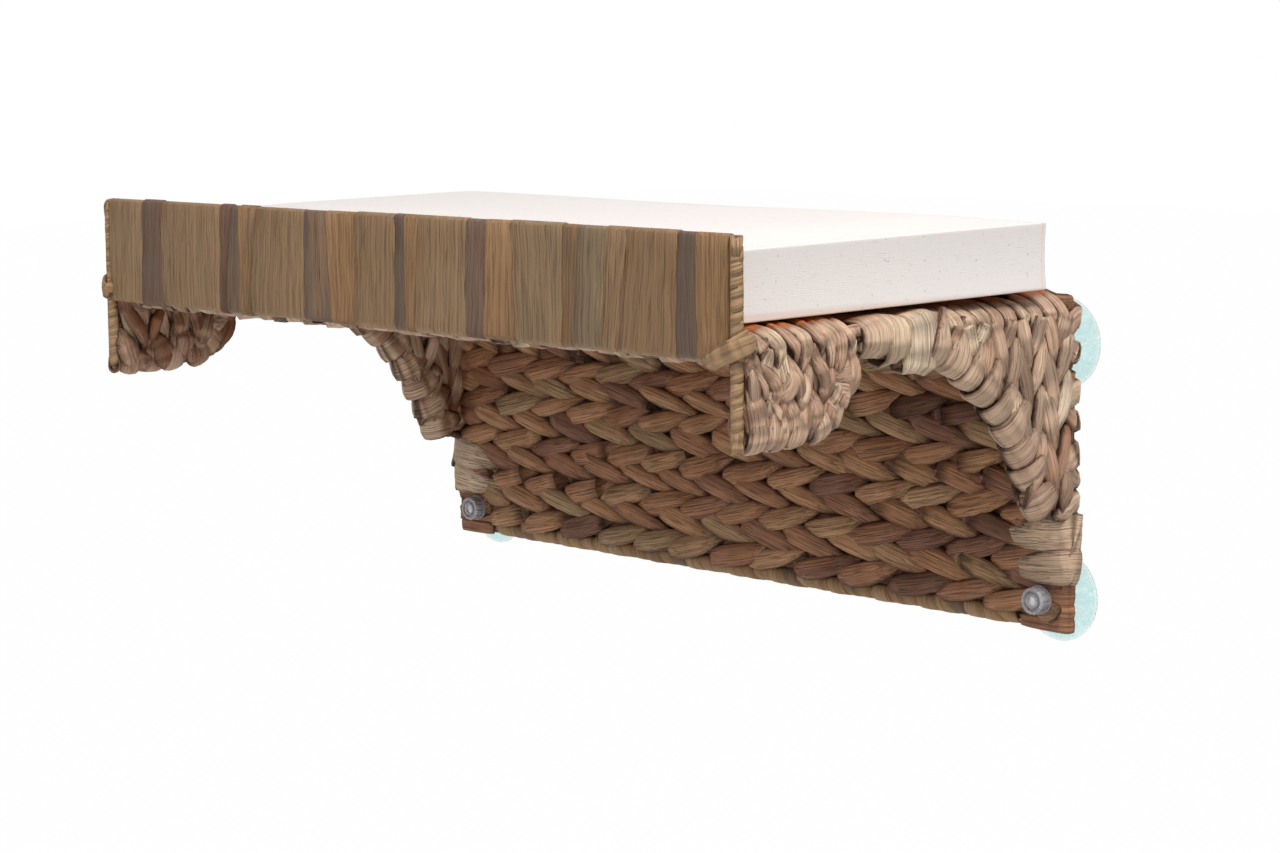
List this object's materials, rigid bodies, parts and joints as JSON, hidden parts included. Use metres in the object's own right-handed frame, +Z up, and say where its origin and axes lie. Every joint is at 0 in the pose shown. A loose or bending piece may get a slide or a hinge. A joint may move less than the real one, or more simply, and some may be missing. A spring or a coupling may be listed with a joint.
{
  "type": "window perch",
  "caption": "Pet perch of woven plant leaf on a wire frame, with a braided deck and back panel, a flat leaf apron, a loose box cushion and suction cups that hold it to a window.",
  "frame": {"origin": "middle of the rectangle of the four suction cups, on the glass", "axes": "+Y into the glass, +Z up, +X along the perch; the apron faces -Y"},
  "size_m": [0.614, 0.3285, 0.2755],
  "materials": {
    "frame_steel": "satin",
    "stud_steel": "satin",
    "clear_plastic": "gloss",
    "cup_vinyl": "gloss",
    "cover_cotton": "matte",
    "foam": "matte",
    "flat_leaf": "matte",
    "back_leaf": "matte",
    "woven_leaf": "matte"
  },
  "bodies": {
    "perch": {"apron_bottom_rod": "frame_steel", "apron_strips": "flat_leaf", "apron_top_rod": "frame_steel", "arch_rod_left": "frame_steel", "arch_rod_right": "frame_steel", "back_bottom_rod": "frame_steel", "back_foot_wrap": "back_leaf", "back_post_left": "frame_steel", "back_post_right": "frame_steel", "back_top_rod": "frame_steel", "back_weave": "back_leaf", "back_wires": "frame_steel", "bracket_weave_left": "woven_leaf", "bracket_weave_right": "woven_leaf", "corner_tab_lower_left": "frame_steel", "corner_tab_lower_right": "frame_steel", "corner_tab_upper_left": "frame_steel", "corner_tab_upper_right": "frame_steel", "corner_tie_left": "woven_leaf", "corner_tie_right": "woven_leaf", "corner_wrap_lower_left": "back_leaf", "corner_wrap_lower_right": "back_leaf", "corner_wrap_upper_left": "back_leaf", "corner_wrap_upper_right": "back_leaf", "cup_stud_lower_left": "stud_steel", "cup_stud_lower_right": "stud_steel", "cup_stud_upper_left": "stud_steel", "cup_stud_upper_right": "stud_steel", "deck_front_rod": "frame_steel", "deck_front_wrap": "woven_leaf", "deck_weave": "woven_leaf", "deck_wires": "frame_steel", "ear_rod_left": "frame_steel", "ear_rod_right": "frame_steel", "ear_weave_left": "woven_leaf", "ear_weave_right": "woven_leaf", "front_post_left": "frame_steel", "front_post_right": "frame_steel", "front_post_wrap_left": "flat_leaf", "front_post_wrap_right": "flat_leaf", "rail_wraps_left": "woven_leaf", "rail_wraps_right": "woven_leaf", "side_rail_left": "frame_steel", "side_rail_right": "frame_steel", "suction_cup_lower_left": "cup_vinyl", "suction_cup_lower_right": "cup_vinyl", "suction_cup_upper_left": "cup_vinyl", "suction_cup_upper_right": "cup_vinyl"},
    "washer_lower_left": {"cup_washer_lower_left": "clear_plastic"},
    "washer_lower_right": {"cup_washer_lower_right": "clear_plastic"},
    "washer_upper_left": {"cup_washer_upper_left": "clear_plastic"},
    "washer_upper_right": {"cup_washer_upper_right": "clear_plastic"},
    "nut_lower_left": {"cup_nut_lower_left": "clear_plastic"},
    "nut_lower_right": {"cup_nut_lower_right": "clear_plastic"},
    "nut_upper_left": {"cup_nut_upper_left": "clear_plastic"},
    "nut_upper_right": {"cup_nut_upper_right": "clear_plastic"},
    "cushion": {"cushion_cover": "cover_cotton", "cushion_foam": "foam"}
  },
  "joints": [
    {"name": "cushion_lift", "type": "slide", "parent": "perch", "child": "cushion", "axis": [0, 0, 1], "range_m": [0, 0.08]},
    {"name": "washer_slide_lower_left", "type": "slide", "parent": "perch", "child": "washer_lower_left", "axis": [0, -1, 0], "range_m": [0, 0.005]},
    {"name": "nut_spin_lower_left", "type": "hinge", "parent": "washer_lower_left", "child": "nut_lower_left", "pos_m": [-0.27126, -0.0245, -0.0805], "axis": [0, -1, 0], "range_deg": [0, 1800]},
    {"name": "washer_slide_lower_right", "type": "slide", "parent": "perch", "child": "washer_lower_right", "axis": [0, -1, 0], "range_m": [0, 0.005]},
    {"name": "nut_spin_lower_right", "type": "hinge", "parent": "washer_lower_right", "child": "nut_lower_right", "pos_m": [0.27126, -0.0245, -0.0805], "axis": [0, -1, 0], "range_deg": [0, 1800]},
    {"name": "washer_slide_upper_left", "type": "slide", "parent": "perch", "child": "washer_upper_left", "axis": [0, -1, 0], "range_m": [0, 0.005]},
    {"name": "nut_spin_upper_left", "type": "hinge", "parent": "washer_upper_left", "child": "nut_upper_left", "pos_m": [-0.27126, -0.0245, 0.0805], "axis": [0, -1, 0], "range_deg": [0, 1800]},
    {"name": "washer_slide_upper_right", "type": "slide", "parent": "perch", "child": "washer_upper_right", "axis": [0, -1, 0], "range_m": [0, 0.005]},
    {"name": "nut_spin_upper_right", "type": "hinge", "parent": "washer_upper_right", "child": "nut_upper_right", "pos_m": [0.27126, -0.0245, 0.0805], "axis": [0, -1, 0], "range_deg": [0, 1800]}
  ],
  "couplings": [
    {"joint": "nut_spin_lower_left", "follows": "washer_slide_lower_left", "rad_per_m": 6283.2},
    {"joint": "nut_spin_lower_right", "follows": "washer_slide_lower_right", "rad_per_m": 6283.2},
    {"joint": "nut_spin_upper_left", "follows": "washer_slide_upper_left", "rad_per_m": 6283.2},
    {"joint": "nut_spin_upper_right", "follows": "washer_slide_upper_right", "rad_per_m": 6283.2}
  ]
}
